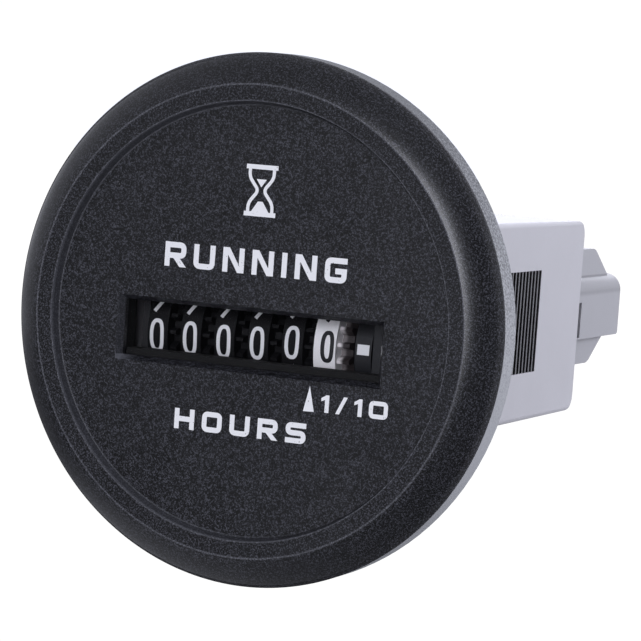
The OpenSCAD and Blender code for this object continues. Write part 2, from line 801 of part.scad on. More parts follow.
module coil_winding() {
  low = coil_low + fit_gap + cheek_t;
  high = coil_high - fit_gap - cheek_t;
  color([0.62, 0.3, 0.16]) difference() {
    upright(coil_r, low, high);
    core_column(bobbin_wall, low - overshoot, high + overshoot);
  }
}

// Circuit board with a strip that reaches under both terminals' legs
module circuit_board() {
  strip_right = blade_pitch / 2 + leg_w;
  color([0.12, 0.36, 0.2]) {
    box(board_left, board_right, board_front, board_back, board_z, board_top);
    box(board_right - overshoot, strip_right, board_back - board_strip, board_back, board_z, board_top);
  }
}

module quartz_crystal() {
  color([0.78, 0.79, 0.8])
    translate([board_left + crystal_x, board_front + crystal_y, board_top + crystal_d / 2])
    rotate([-90, 0, 0]) union() {
      cylinder(d = crystal_d, h = crystal_l);
      for (s = [-1, 1]) translate([s * crystal_d / 5, 0, -crystal_lead])
        cylinder(d = lead_d / 2, h = crystal_lead + fit_gap);
    }
}

module oscillator_chip() {
  pins = 4;
  y0 = board_front + chip_y;
  x0 = board_left + chip_x;
  color([0.12, 0.12, 0.13]) {
    box(x0, x0 + chip_w, y0, y0 + chip_l, board_top + chip_pin_t / 2, board_top + chip_h);
    for (i = [0 : pins - 1]) {
      y = y0 + chip_l / 2 + (i - (pins - 1) / 2) * chip_pitch;
      box(x0 - chip_foot, x0 + chip_w + chip_foot, y - chip_pin_w / 2, y + chip_pin_w / 2,
          board_top, board_top + chip_pin_t);
    }
  }
}

module capacitor() {
  color([0.2, 0.22, 0.3]) translate([board_left + capacitor_x, board_back - capacitor_y, board_top]) {
    cylinder(d = capacitor_d, h = capacitor_h - capacitor_step);
    cylinder(d = capacitor_d - 2 * capacitor_step, h = capacitor_h);
  }
}

// Axial part lying above the board on two bent leads
module axial_part(x) {
  span = axial_l + 2 * axial_reach;
  rise = axial_d / 2 + axial_lift;
  translate([board_left + x, board_back - axial_y, board_top]) {
    translate([0, -axial_l / 2, rise]) rotate([-90, 0, 0]) cylinder(d = axial_d, h = axial_l);
    translate([0, -span / 2, rise]) rotate([-90, 0, 0]) cylinder(d = lead_d, h = span);
    for (s = [-1, 1]) translate([0, s * (span - lead_d) / 2, 0]) cylinder(d = lead_d, h = rise);
  }
}

module diode() {
  color([0.15, 0.15, 0.16]) axial_part(diode_x);
}

module resistor() {
  color([0.76, 0.66, 0.48]) axial_part(diode_x + axial_pitch);
}

bezel();
window_lens();
case();
terminal_housing();
positive_terminal();
negative_terminal();
counter_frame();
drum_shaft();
pinion_shaft();
drive_pin();
middle_pin();
rotor_pin();
tenths_drum();
units_drum();
tens_drum();
hundreds_drum();
thousands_drum();
ten_thousands_drum();
units_pinion();
tens_pinion();
hundreds_pinion();
thousands_pinion();
ten_thousands_pinion();
drive_wheel();
run_indicator();
middle_wheel();
rotor();
rotor_magnet();
stator();
coil_bobbin();
coil_winding();
circuit_board();
quartz_crystal();
oscillator_chip();
capacitor();
diode();
resistor();
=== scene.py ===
import math

import bmesh
import bpy
from mathutils import Matrix, Vector


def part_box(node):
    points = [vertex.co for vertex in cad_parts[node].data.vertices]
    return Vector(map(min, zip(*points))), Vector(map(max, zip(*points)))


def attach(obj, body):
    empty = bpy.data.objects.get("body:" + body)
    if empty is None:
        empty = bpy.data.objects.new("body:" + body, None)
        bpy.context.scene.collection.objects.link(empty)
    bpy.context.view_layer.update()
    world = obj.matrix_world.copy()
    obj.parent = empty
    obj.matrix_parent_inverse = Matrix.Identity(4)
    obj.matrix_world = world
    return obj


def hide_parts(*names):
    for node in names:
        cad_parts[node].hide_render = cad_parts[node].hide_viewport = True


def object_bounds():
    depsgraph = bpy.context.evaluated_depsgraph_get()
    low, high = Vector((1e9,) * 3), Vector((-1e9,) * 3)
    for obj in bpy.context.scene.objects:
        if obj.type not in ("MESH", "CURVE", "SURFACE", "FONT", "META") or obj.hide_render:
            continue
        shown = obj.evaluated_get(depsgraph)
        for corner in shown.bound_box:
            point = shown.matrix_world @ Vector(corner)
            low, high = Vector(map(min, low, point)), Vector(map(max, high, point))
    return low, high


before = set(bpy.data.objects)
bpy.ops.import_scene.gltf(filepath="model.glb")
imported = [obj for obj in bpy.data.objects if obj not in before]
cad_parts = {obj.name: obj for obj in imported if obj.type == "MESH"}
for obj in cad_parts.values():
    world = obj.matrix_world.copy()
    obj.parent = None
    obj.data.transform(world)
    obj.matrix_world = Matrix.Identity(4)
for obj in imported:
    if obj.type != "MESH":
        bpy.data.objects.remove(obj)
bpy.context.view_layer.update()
mm = 0.001
print("frame loaded with", len(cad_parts), "nodes")


# node building: one class for sockets, one for trees, one for materials

def pickSocket(sockets, key):  # by place, or by name among the sockets in use
    if isinstance(key, int):
        return sockets[key]
    return next(s for s in sockets if s.name == key and s.enabled)


class Wire:  # an output socket that can stand in a sum
    def __init__(self, bench, socket):
        self.bench = bench
        self.socket = socket

    def other(self, name):
        return Wire(self.bench, pickSocket(self.socket.node.outputs, name))

    def maths(self, operation, first, second):
        return self.bench.node("ShaderNodeMath", {"operation": operation}, {0: first, 1: second})

    def __add__(self, other):
        return self.maths("ADD", self, other)

    def __radd__(self, other):
        return self.maths("ADD", other, self)

    def __sub__(self, other):
        return self.maths("SUBTRACT", self, other)

    def __rsub__(self, other):
        return self.maths("SUBTRACT", other, self)

    def __mul__(self, other):
        return self.maths("MULTIPLY", self, other)

    def __rmul__(self, other):
        return self.maths("MULTIPLY", other, self)

    def __truediv__(self, other):
        return self.maths("DIVIDE", self, other)

    def __gt__(self, other):
        return self.maths("GREATER_THAN", self, other)

    def __lt__(self, other):
        return self.maths("LESS_THAN", self, other)

    def __abs__(self):
        return self.maths("ABSOLUTE", self, 0.0)

    def rise(self, low, high):  # 0 below low, 1 above high, smooth between
        values = {"Value": self, "From Min": low, "From Max": high}
        return self.bench.node("ShaderNodeMapRange", {"interpolation_type": "SMOOTHSTEP"}, values)


class NodeBench:  # adds nodes to one tree
    def __init__(self, tree):
        self.tree = tree

    def feed(self, socket, value):
        if isinstance(value, Wire):
            self.tree.links.new(value.socket, socket)
        elif socket.type == "RGBA" and len(value) == 3:
            socket.default_value = (*value, 1.0)
        else:
            socket.default_value = value

    def node(self, kind, settings=None, values=None):
        made = self.tree.nodes.new(kind)
        for name, value in (settings or {}).items():
            setattr(made, name, value)
        for key, value in (values or {}).items():
            self.feed(pickSocket(made.inputs, key), value)
        return Wire(self, next(s for s in made.outputs if s.enabled))


class Finish(NodeBench):  # a material with one shader
    def __init__(self, name):
        self.material = bpy.data.materials.new(name)
        self.material.use_nodes = True
        super().__init__(self.material.node_tree)
        self.shader = self.tree.nodes["Principled BSDF"]
        self.place = self.node("ShaderNodeTexCoord").other("Object")

    def set(self, values):
        for key, value in values.items():
            self.feed(self.shader.inputs[key], value)

    def axes(self):
        split = self.node("ShaderNodeSeparateXYZ", None, {"Vector": self.place})
        return split, split.other("Y"), split.other("Z")

    def noise(self, size, detail=2.0, place=None):  # size of the features in metres
        values = {"Vector": place or self.place, "Scale": 1 / size, "Detail": detail}
        return self.node("ShaderNodeTexNoise", {"normalize": True}, values)

    def stretched(self, x, y, z):  # coordinates scaled along each axis
        return self.node("ShaderNodeMapping", None, {"Vector": self.place, "Scale": (x, y, z)})

    def specks(self, spacing, share):  # small dots scattered at about this spacing
        cells = self.node("ShaderNodeTexVoronoi", None, {"Vector": self.place, "Scale": 1 / spacing})
        return cells < share

    def mix(self, share, first, second):
        values = {"Factor": share, "A": first, "B": second}
        return self.node("ShaderNodeMix", {"data_type": "RGBA"}, values)

    def bump(self, height, depth):
        values = {"Height": height, "Distance": depth, "Strength": 1.0}
        self.set({"Normal": self.node("ShaderNodeBump", None, values)})


# finishes

def shade(colour, factor):
    return tuple(c * factor for c in colour)


blackGrain = {"dark": (0.0002, 0.0002, 0.0004), "light": (0.0695, 0.0710, 0.0850), "grain": 0.205 * mm,
              "fine": 0.105 * mm, "depth": 0.012 * mm, "rough": 0.31, "speckSpacing": 1.6 * mm,
              "speckColour": (0.12, 0.12, 0.13), "paintedLightColour": (0.150, 0.153, 0.172), "paintedLightWidth": 0.17 * mm}


def blackMoulding():  # spark-eroded black plastic, with painted highlights along its two raised rings, on the step wall and on the window's left and lower slopes, and painted shade behind the lens
    finish = Finish("blackMoulding")
    grain = finish.noise(blackGrain["grain"], 3.0)
    fine = finish.noise(blackGrain["fine"], 2.0)
    cloud = finish.noise(9 * mm, 3.0)
    tone = (grain * 0.5 + fine * 0.5).rise(0.46, 0.65)
    x, y, z = finish.axes()
    radius = finish.node("ShaderNodeMath", {"operation": "SQRT"}, {0: x * x + z * z})
    tone = tone + (0.10 - tone) * radius.rise(25.9 * mm, 26.9 * mm) * 0.25
    base = finish.mix(tone, blackGrain["dark"], blackGrain["light"])
    dusted = finish.mix(finish.specks(blackGrain["speckSpacing"], 0.05) * 0.6, base, blackGrain["speckColour"])
    paintedLight = 0
    # painted highlights: thin light lines along the crest and along the land's inner edge
    for ring in (25.7 * mm, 23.9 * mm):
        paintedLight = paintedLight + (1 - abs(radius - ring).rise(0.0, blackGrain["paintedLightWidth"]))
    paintedLight = paintedLight * (y < -5.6 * mm) * (0.35 + tone * 0.65)
    # painted light on the step wall between the land and the dial, lighter on the left and fading toward the right
    step = (radius > 23.4 * mm) * (radius < 23.9 * mm) * (1 - x.rise(-12 * mm, 14 * mm)) * 0.26
    # painted light on the window's left slope and a painted reflection on its lower slope near the left corner
    inSlope = (abs(x) < 16.05 * mm) * (abs(z + 2.05 * mm) < 3.6 * mm) * (y < -3.9 * mm)
    leftSlope = inSlope * (x < -15.5 * mm) * 0.16
    lowCorner = inSlope * (z < -5.12 * mm) * (1 - x.rise(-16 * mm, -13.4 * mm)) * 0.6
    paintedLight = paintedLight + step + leftSlope + lowCorner
    # painted shade: inside the window, behind the lens, the colour is taken down to the darkest grain tone
    behindLens = (y > -3.3 * mm) * (radius < 18 * mm)
    rimEdge = radius > 28.8 * mm
    shaded = finish.mix(behindLens, dusted, blackGrain["dark"])
    finish.set({"Base Color": finish.mix(paintedLight, shaded, blackGrain["paintedLightColour"]),
                "Roughness": blackGrain["rough"] + (cloud - 0.5) * 0.12 + behindLens * 0.5 + rimEdge * 0.55,
                "Specular IOR Level": 0.45})
    finish.bump(grain * 0.6 + fine * 0.4, blackGrain["depth"])
    return finish.material


def mouldedPlastic(name, colour, rough, grain=0.35 * mm, depth=0.006 * mm, mottle=0.06, shine=0.4):
    finish = Finish(name)
    cloud = finish.noise(6 * mm, 3.0)
    skin = finish.noise(grain, 3.0)
    share = cloud * 0.7 + skin * 0.3
    finish.set({"Base Color": finish.mix(share, shade(colour, 1 - mottle), shade(colour, 1 + mottle)),
                "Roughness": rough + (skin - 0.5) * 0.10, "Specular IOR Level": shine})
    finish.bump(skin, depth)
    return finish


greyCase = {"colour": (0.414, 0.407, 0.428), "rough": 0.46, "grooveShadow": (0.003, 0.003, 0.004), "ridgeShade": 0.30,
            "groovesFrom": 3.0 * mm, "groovesTo": 36.0 * mm, "groovesHalfHeight": 6.03 * mm,
            "flangeLitLow": (0.345, 0.350, 0.364), "flangeShadedTop": (0.068, 0.070, 0.075), "flangeGrain": 0.23 * mm}


def greyMoulding():  # case plastic, grained on the flange, with painted light from below on the flange darkening toward its top, and painted shade, almost black, down in the ratchet grooves and darker on their ridges
    finish = mouldedPlastic("greyMoulding", greyCase["colour"], greyCase["rough"])
    x, y, z = finish.axes()
    half = casePlace["halfWidth"]
    depth = 1 - abs(x).rise(half - 0.10 * mm, half - 0.02 * mm)
    outside = abs(x) > (half - 1.2 * mm)
    along = (y > greyCase["groovesFrom"]) * (y < greyCase["groovesTo"])
    inStrip = outside * along * (abs(z) < greyCase["groovesHalfHeight"])
    plain = Wire(finish, finish.shader.inputs["Base Color"].links[0].from_socket)
    # painted light on the flange: lighter low down, as if lit from below, darkening toward its top; the grain breaks
    # up where the two meet
    grain = finish.noise(greyCase["flangeGrain"], 3.0).rise(0.35, 0.65)
    height = (z + (grain - 0.5) * 16 * mm).rise(-10 * mm, 28 * mm)
    grainAndShade = finish.mix(height, greyCase["flangeLitLow"], greyCase["flangeShadedTop"])
    onFlange = y < 0.0
    flanged = finish.mix(onFlange, plain, grainAndShade)
    # painted shade: the ridges darkened, and everything below the ridge tops painted almost black
    strip = finish.mix(depth, shade(greyCase["colour"], greyCase["ridgeShade"]), greyCase["grooveShadow"])
    finish.set({"Base Color": finish.mix(inStrip, flanged, strip), "Roughness": greyCase["rough"] + onFlange * 0.5})
    return finish.material


housing = {"colour": (0.325, 0.322, 0.338), "rough": 0.44, "radiusShade": 0.68, "radiusShadeFrom": 1.9 * mm,
           "radiusShadeFull": 2.6 * mm, "radiusShadeTo": 4.42 * mm}


def housingMoulding():  # connector plastic, with painted shade over the shroud's upper radius
    finish = mouldedPlastic("housingMoulding", housing["colour"], housing["rough"])
    z = finish.axes()[2]
    plain = Wire(finish, finish.shader.inputs["Base Color"].links[0].from_socket)
    # painted shade over the shroud's upper radius
    radiusShade = z.rise(housing["radiusShadeFrom"], housing["radiusShadeFull"]) * (z < housing["radiusShadeTo"])
    finish.set({"Base Color": finish.mix(radiusShade, plain, shade(housing["colour"], housing["radiusShade"]))})
    return finish.material


def plasticOf(name, colour, rough, **more):
    return mouldedPlastic(name, colour, rough, **more).material


def printInk(name, colour, pit, pitShare):  # screen ink, thin over the grain below it
    finish = Finish(name)
    grain = finish.noise(blackGrain["grain"], 3.0)
    film = finish.noise(0.9 * mm, 2.0)
    holes = 1 - (grain * 0.8 + film * 0.2).rise(pitShare - 0.06, pitShare + 0.05)
    finish.set({"Base Color": finish.mix(holes, colour, pit), "Roughness": 0.5 + (film - 0.5) * 0.2,
                "Specular IOR Level": 0.35})
    finish.bump(grain, 0.012 * mm)
    return finish.material


def clearLens():
    finish = Finish("clearLens")
    haze = finish.noise(4 * mm, 3.0)
    finish.set({"Base Color": (0.004, 0.004, 0.005), "Roughness": 0.03 + haze * 0.05, "IOR": 1.49,
                "Alpha": 0.04 + haze * 0.02, "Specular IOR Level": 0.25})
    finish.material.surface_render_method = "BLENDED"
    return finish.material


def drawnMetal(name, colour, rough, drawnAlong="x"):  # fine lines along the drawing direction
    finish = Finish(name)
    squeeze = {axis: (0.04 if axis == drawnAlong else 1.0) for axis in "xyz"}
    lines = finish.noise(0.12 * mm, 3.0, finish.stretched(squeeze["x"], squeeze["y"], squeeze["z"]))
    cloud = finish.noise(3 * mm, 2.0)
    finish.set({"Base Color": finish.mix(cloud, shade(colour, 0.88), colour), "Metallic": 1.0,
                "Roughness": rough + (lines - 0.5) * 0.25})
    finish.bump(lines, 0.004 * mm)
    return finish.material


def enamelledWire():
    finish = Finish("enamelledWire")
    tone = finish.noise(1.6 * mm, 2.0)
    finish.set({"Base Color": finish.mix(tone, (0.30, 0.085, 0.030), (0.52, 0.17, 0.06)), "Metallic": 0.75,
                "Roughness": 0.26 + tone * 0.12, "Coat Weight": 0.5})
    return finish.material


boardFace = {"mask": (0.018, 0.110, 0.045), "weave": 0.5 * mm}


def boardLaminate():  # green solder mask over a glass weave
    finish = Finish("boardLaminate")
    x, y, z = finish.axes()
    weave = finish.node("ShaderNodeTexChecker", None, {"Vector": finish.place, "Scale": 1 / boardFace["weave"]})
    threads = weave.other("Fac")
    cloud = finish.noise(5 * mm, 2.0)
    share = threads * 0.25 + cloud * 0.75
    finish.set({"Base Color": finish.mix(share, shade(boardFace["mask"], 0.75), shade(boardFace["mask"], 1.3)),
                "Roughness": 0.34 + cloud * 0.1, "Coat Weight": 0.2})
    finish.bump(threads, 0.006 * mm)
    return finish.material


def stripedBody(name, colour, bands, along, rough):  # colour bands round a part that lies along one axis
    finish = mouldedPlastic(name, colour, rough)
    axis = dict(zip("xyz", finish.axes()))[along]
    paint = Wire(finish, finish.shader.inputs["Base Color"].links[0].from_socket)
    for low, high, tone in bands:
        paint = finish.mix((axis > low) * (axis < high), paint, tone)
    finish.set({"Base Color": paint})
    return finish.material


def bandsOf(node, tones, share=0.42, gap=0.5):  # bands spread over the middle of a node's length
    low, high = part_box(node)
    middle, length = (low.y + high.y) / 2, (high.y - low.y) * share
    pitch = length / len(tones)
    start = middle - length / 2
    return [(start + i * pitch, start + (i + gap) * pitch, tone) for i, tone in enumerate(tones)]


tenthsDrum = {"axis": (5.7 * mm, -2.4 * mm), "bandEnd": 8.79 * mm, "gearEnd": 9.55 * mm, "root": 4.9 * mm,
              "tip": 5.8 * mm, "white": (0.93, 0.92, 0.92), "toothTipHighlight": (0.80, 0.76, 0.76),
              "gearShadow": (0.030, 0.024, 0.024), "toothRootShade": (0.20, 0.18, 0.18)}


def tenthsMoulding():  # a white band; its gear teeth painted with light tips, shaded roots and shadow toward the indicator
    finish = mouldedPlastic("tenthsMoulding", tenthsDrum["white"], 0.42, mottle=0.03)
    x, y, z = finish.axes()
    up, back = z - tenthsDrum["axis"][1], y - tenthsDrum["axis"][0]
    radius = finish.node("ShaderNodeMath", {"operation": "SQRT"}, {0: up * up + back * back})
    # painted shadow: the gear teeth darken toward the indicator
    gearShadowShare = x.rise(tenthsDrum["bandEnd"] + 0.25 * mm, tenthsDrum["gearEnd"])
    # painted light: tooth tips lighter, roots shaded
    lit = finish.mix(radius.rise(tenthsDrum["root"], tenthsDrum["tip"]), tenthsDrum["toothRootShade"],
                     tenthsDrum["toothTipHighlight"])
    gear = finish.mix(gearShadowShare, lit, tenthsDrum["gearShadow"])
    band = Wire(finish, finish.shader.inputs["Base Color"].links[0].from_socket)
    finish.set({"Base Color": finish.mix(x > tenthsDrum["bandEnd"] + 0.01 * mm, band, gear)})
    return finish.material


casePlace = {"halfWidth": 18.3 * mm, "flangeFront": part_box("case")[0].y}
resistorBands = [(0.20, 0.05, 0.02), (0.02, 0.02, 0.02), (0.60, 0.10, 0.03), (0.55, 0.38, 0.08)]

finishes = {
    "black_moulding": blackMoulding(),
    "clear_lens": clearLens(),
    "grey_moulding": greyMoulding(),
    "housing_moulding": housingMoulding(),
    "tinned_brass": drawnMetal("tinnedBrass", (0.80, 0.76, 0.62), 0.32, "y"),
    "frame_moulding": plasticOf("frameMoulding", (0.016, 0.016, 0.018), 0.5),
    "shaft_steel": drawnMetal("shaftSteel", (0.62, 0.63, 0.65), 0.28, "x"),
    "black_drum": plasticOf("blackDrum", (0.0050, 0.0050, 0.0058), 0.60, mottle=0.2, shine=0.18),
    "white_drum": tenthsMoulding(),
    "wheel_moulding": plasticOf("wheelMoulding", (0.74, 0.71, 0.62), 0.38),
    "magnet": plasticOf("magnetFerrite", (0.055, 0.052, 0.055), 0.6, depth=0.02 * mm),
    "stator_steel": drawnMetal("statorSteel", (0.50, 0.51, 0.53), 0.42, "z"),
    "bobbin_moulding": plasticOf("bobbinMoulding", (0.72, 0.70, 0.64), 0.4),
    "enamelled_wire": enamelledWire(),
    "board_laminate": boardLaminate(),
    "crystal_can": drawnMetal("crystalCan", (0.72, 0.73, 0.75), 0.22, "y"),
    "chip_moulding": plasticOf("chipMoulding", (0.014, 0.014, 0.015), 0.62, depth=0.02 * mm),
    "capacitor_sleeve": plasticOf("capacitorSleeve", (0.020, 0.026, 0.060), 0.3),
    "resistor_body": stripedBody("resistorBody", (0.58, 0.43, 0.24), bandsOf("resistor", resistorBands), "y", 0.35),
}
whiteInk = printInk("whiteInk", (0.85, 0.85, 0.86), (0.05, 0.05, 0.055), 0.32)
blackInk = printInk("blackInk", (0.014, 0.014, 0.016), (0.10, 0.10, 0.10), 0.22)

for name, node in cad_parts.items():
    slotName = node.material_slots[0].material.name.split(".")[0]
    node.material_slots[0].material = finishes[slotName]
print("finishes made:", len(finishes) + 2)


# pieces

def addPiece(name, mesh, slotName, body, material=None):
    piece = bpy.data.objects.new(name, mesh)
    bpy.context.scene.collection.objects.link(piece)
    mesh.materials.clear()
    mesh.materials.append(material or finishes[slotName])
    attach(piece, body)
    return piece


def meshFrom(points, faces, name):
    mesh = bpy.data.meshes.new(name)
    mesh.from_pydata([tuple(p) for p in points], [], faces)
    bm = bmesh.new()
    bm.from_mesh(mesh)
    bmesh.ops.recalc_face_normals(bm, faces=bm.faces)
    bm.to_mesh(mesh)
    bm.free()
    return mesh


def plainMesh(piece):  # the evaluated shape as a mesh without modifiers
    graph = bpy.context.evaluated_depsgraph_get()
    mesh = bpy.data.meshes.new_from_object(piece.evaluated_get(graph), depsgraph=graph)
    piece.modifiers.clear()
    piece.data = mesh
    return mesh


def smoothMesh(mesh, sharpAngle):
    mesh.polygons.foreach_set("use_smooth", [True] * len(mesh.polygons))
    mesh.set_sharp_from_angle(angle=math.radians(sharpAngle))


def settleNormals(mesh, bend=50):  # large faces stay flat beside their radii
    around = [[] for _ in mesh.vertices]
    for face in mesh.polygons:
        for corner in face.vertices:
            around[corner].append((face.normal.copy(), face.area))
    least = math.cos(math.radians(bend))
    normals = []
    for face in mesh.polygons:
        for corner in face.vertices:
            total = sum((n * area for n, area in around[corner] if n.dot(face.normal) > least), Vector())
            normals.append(total.normalized() if total.length > 0 else Vector((0, 0, 1)))
    mesh.polygons.foreach_set("use_smooth", [True] * len(mesh.polygons))
    mesh.normals_split_custom_set(normals)


def easeEdges(mesh, width, segments, limit, radiusShare=lambda start, end: 1.0):  # radii on moulded edges
    bm = bmesh.new()
    bm.from_mesh(mesh)
    share = bm.edges.layers.float.new("bevel_weight_edge")
    for edge in bm.edges:
        turned = len(edge.link_faces) == 2 and edge.calc_face_angle() > math.radians(limit)
        edge[share] = radiusShare(*(v.co for v in edge.verts)) if turned else 0.0
    bm.to_mesh(mesh)
    bm.free()
    piece = bpy.data.objects.new("easing", mesh)
    bpy.context.scene.collection.objects.link(piece)
    bevel = piece.modifiers.new("edgeRadius", "BEVEL")
    bevel.width = width
    bevel.segments = segments
    bevel.limit_method = "WEIGHT"
    bevel.miter_outer = "MITER_ARC"
    bevel.use_clamp_overlap = True
    eased = plainMesh(piece)
    bpy.data.objects.remove(piece)
    settleNormals(eased)
    return eased


def mergedCopy(node, wholeFaces):  # a solid's mesh with its points joined and flat faces whole where told
    bm = bmesh.new()
    bm.from_mesh(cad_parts[node].data)
    bmesh.ops.remove_doubles(bm, verts=bm.verts, dist=1e-7)
    inside = [e for e in bm.edges if not all(wholeFaces(v.co) for v in e.verts)]
    bmesh.ops.dissolve_limit(bm, angle_limit=math.radians(0.2), verts=bm.verts, edges=inside)
    mesh = bpy.data.meshes.new(node)
    bm.to_mesh(mesh)
    bm.free()
    return mesh


# bezel: loops of points from the dial through the window, round the back and over the rim

bezelForm = {
    "segments": 288, "rimEdge": 0.35, "crestRadius": 25.7, "crestHeight": 2.9, "landRadius": 23.9,
    "landFall": 0.04, "dialRadius": 23.4, "dialHeight": 1.75, "fullness": 1.3, "slopeSteps": 26,
    "filletWidth": 0.15, "filletRise": 0.03, "ribRadius": 26.6, "ribWidth": 1.0, "ribLength": 0.9,
    "windowWidth": 31.1, "windowHeight": 6.2, "windowCentre": -2.05, "slopeWidth": 0.5, "slopeDepth": 0.8,
    "lensSeat": 0.85, "maskLip": 0.72, "collarWall": 0.75, "collarLength": 3.5, "dialRings": 4,
    "edgeRadius": 0.09,
}
flangeFront = casePlace["flangeFront"] / mm
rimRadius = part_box("bezel")[1].x / mm
dialFace = flangeFront - bezelForm["dialHeight"]


def circleLoop(radius, y):
    turn = 2 * math.pi / bezelForm["segments"]
    return [Vector((radius * math.cos(i * turn), y, radius * math.sin(i * turn)))
            for i in range(bezelForm["segments"])]


def windowShares():  # where each ray from the window's centre meets its edge, as shares of half sizes
    halfWidth, halfHeight = bezelForm["windowWidth"] / 2, bezelForm["windowHeight"] / 2
    shares = []
    for point in circleLoop(bezelForm["dialRadius"], 0):
        across, up = point.x / halfWidth, (point.z - bezelForm["windowCentre"]) / halfHeight
        reach = max(abs(across), abs(up))
        shares.append(Vector((across / reach, up / reach)))
    for corner in [Vector((1, 1)), Vector((-1, 1)), Vector((-1, -1)), Vector((1, -1))]:
        nearest = min(range(len(shares)), key=lambda i: (shares[i] - corner).length)
        shares[nearest] = corner
    return shares


def windowLoop(shares, width, height, y, lift=0.0):
    return [Vector((s.x * width / 2, y, bezelForm["windowCentre"] + lift + s.y * height / 2)) for s in shares]


def loopsBetween(first, second, count):
    return [[a.lerp(b, (k + 1) / (count + 1)) for a, b in zip(first, second)] for k in range(count)]


def rimLoops():
    form = bezelForm
    width, height = rimRadius - form["crestRadius"], form["crestHeight"] - form["rimEdge"]
    loops = []
    for i in range(form["slopeSteps"] + 1):
        angle = math.pi / 2 * i / form["slopeSteps"]
        out = math.cos(angle) ** (2 / form["fullness"]) if i < form["slopeSteps"] else 0.0
        up = math.sin(angle) ** (2 / form["fullness"])
        loops.append(circleLoop(form["crestRadius"] + width * out, flangeFront - form["rimEdge"] - height * up))
    return loops


def bezelMesh():
    form = bezelForm
    shares = windowShares()
    width, height = form["windowWidth"], form["windowHeight"]
    slope, wall = 2 * form["slopeWidth"], 2 * form["collarWall"]
    lensFace = dialFace + form["slopeDepth"]
    maskFace, collarEnd = lensFace + form["lensSeat"], dialFace + form["collarLength"]
    maskHeight, maskLift = height - form["maskLip"], form["maskLip"] / 2
    dialEdge = circleLoop(form["dialRadius"], dialFace)
    windowEdge = windowLoop(shares, width + slope, height + slope, dialFace)
    ribIn, ribOut, ribEnd = form["ribRadius"] - form["ribWidth"], form["ribRadius"], flangeFront + form["ribLength"]
    loops = [dialEdge, *loopsBetween(dialEdge, windowEdge, form["dialRings"]), windowEdge]
    loops += [windowLoop(shares, width, height, lensFace), windowLoop(shares, width, height, maskFace)]
    loops += [windowLoop(shares, width, maskHeight, y, maskLift) for y in (maskFace + 0.02, collarEnd)]
    loops += [windowLoop(shares, width + wall, height + wall, y) for y in (collarEnd, flangeFront)]
    loops += [circleLoop(ribIn, flangeFront), circleLoop(ribIn, ribEnd)]
    loops += [circleLoop(ribOut, ribEnd), circleLoop(ribOut, flangeFront), circleLoop(rimRadius, flangeFront)]
    loops += rimLoops()
    loops.append(circleLoop(form["landRadius"], flangeFront - form["crestHeight"] + form["landFall"]))
    loops.append(circleLoop(form["dialRadius"] + form["filletWidth"], dialFace - form["filletRise"]))
    count = form["segments"]
    points = [p * mm for loop in loops for p in loop]
    faces = []
    for row in range(len(loops)):
        after = (row + 1) % len(loops)
        for i in range(count):
            step = (i + 1) % count
            faces.append([row * count + i, row * count + step, after * count + step, after * count + i])
    return easeEdges(meshFrom(points, faces, "bezelShell"), form["edgeRadius"] * mm, 2, 24)


bezelShell = addPiece("bezelShell", bezelMesh(), "black_moulding", "meter_body")
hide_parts("bezel")
print("bezel made:", len(bezelShell.data.polygons), "faces")


# case and connector: the solids with eased edges

def onRatchetSide(place):  # the case's two sides, which the ratchet grooves cut
    return abs(abs(place.x) - casePlace["halfWidth"]) < 0.001 * mm


def inRatchet(place):
    return (abs(place.x) > casePlace["halfWidth"] - 1.1 * mm and abs(place.z) < greyCase["groovesHalfHeight"]
            and greyCase["groovesFrom"] < place.y < greyCase["groovesTo"])


def caseRadius(start, end):  # the ratchet's edges stay sharp
    return 0.0 if inRatchet(start) and inRatchet(end) else 1.0


def onBraceCorner(start, end):  # the outer corners of the two braces over and under the connector
    clear = min(abs(start.z - 0.5 * mm), abs(end.z - 0.5 * mm)) > 5 * mm
    return clear and min(start.y, end.y) > 53 * mm and abs(start.x - end.x) > 5 * mm


def onShroudFoot(start, end):  # the lower edge of the shroud's open end
    return min(start.y, end.y) > 69 * mm and max(start.z, end.z) < -3 * mm and abs(start.x - end.x) > 5 * mm


def fullCorners(mesh, isCorner, reach):  # wider radii on chosen edges
    bm = bmesh.new()
    bm.from_mesh(mesh)
    corners = [e for e in bm.edges if isCorner(*(v.co for v in e.verts))]
    bmesh.ops.bevel(bm, geom=corners, offset=reach, segments=5, profile=0.5, affect="EDGES", clamp_overlap=True)
    bm.to_mesh(mesh)
    bm.free()


mouldings = [
    {"piece": "caseShell", "node": "case", "slot": "grey_moulding", "radius": 0.14 * mm},
    {"piece": "connectorShell", "node": "terminal_housing", "slot": "housing_moulding", "radius": 0.3 * mm},
]
for moulding in mouldings:
    solid = mergedCopy(moulding["node"], onRatchetSide)
    fullCorners(solid, onBraceCorner, 0.8 * mm)
    fullCorners(solid, onShroudFoot, 0.5 * mm)
    eased = easeEdges(solid, moulding["radius"], 3, 35, caseRadius)
    shell = addPiece(moulding["piece"], eased, moulding["slot"], "meter_body")
    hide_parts(moulding["node"])
    print(moulding["piece"], "made:", len(eased.polygons), "faces")


# print: strokes with a width and filled shapes, kept as thin closed solids

